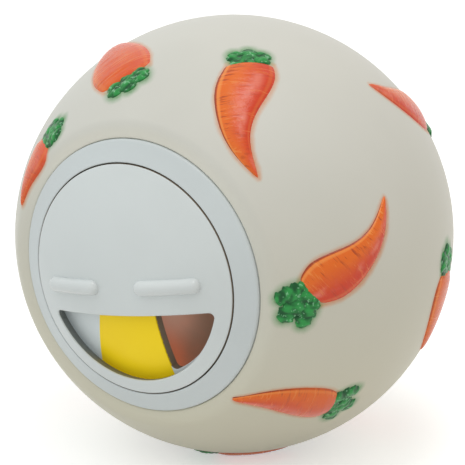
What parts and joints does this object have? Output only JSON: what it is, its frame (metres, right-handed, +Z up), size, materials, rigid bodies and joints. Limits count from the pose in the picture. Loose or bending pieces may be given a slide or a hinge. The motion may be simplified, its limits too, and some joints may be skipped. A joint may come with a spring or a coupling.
{
  "type": "treat dispensing ball",
  "caption": "Hollow pet treat ball with carrots in relief and a round snap-in lid: a turning dial moves a half-moon window over a fixed shutter plate to let treats fall out.",
  "frame": {"origin": "the point where the resting ball touches the floor, straight below the ball's centre", "axes": "+Z up, the lid's axis lies along -Y through the ball's centre, so -Y is the side that the lid faces, and +X is to the right of someone who faces the lid"},
  "size_m": [0.07, 0.0686, 0.07],
  "materials": {
    "vinyl_cream": "soft moulded vinyl, cream, satin, with painted relief",
    "lid_plastic": "injection moulded, pale cool grey, satin",
    "plate_plastic": "injection moulded, pale grey, satin",
    "film_yellow": "thin yellow film, even sheen",
    "fastener_steel": "zinc plated"
  },
  "bodies": {
    "housing": {"ball_shell": "vinyl_cream", "lid_bezel": "lid_plastic", "shutter_plate": "plate_plastic", "marker_film": "film_yellow"},
    "dial_assembly": {"dial": "lid_plastic", "pivot_washer": "fastener_steel", "pivot_screw": "fastener_steel"}
  },
  "joints": [
    {"name": "dial_turn", "type": "hinge", "parent": "housing", "child": "dial_assembly", "pos_m": [0, 0, 0.035], "axis": [0, -1, 0], "continuous": true}
  ]
}
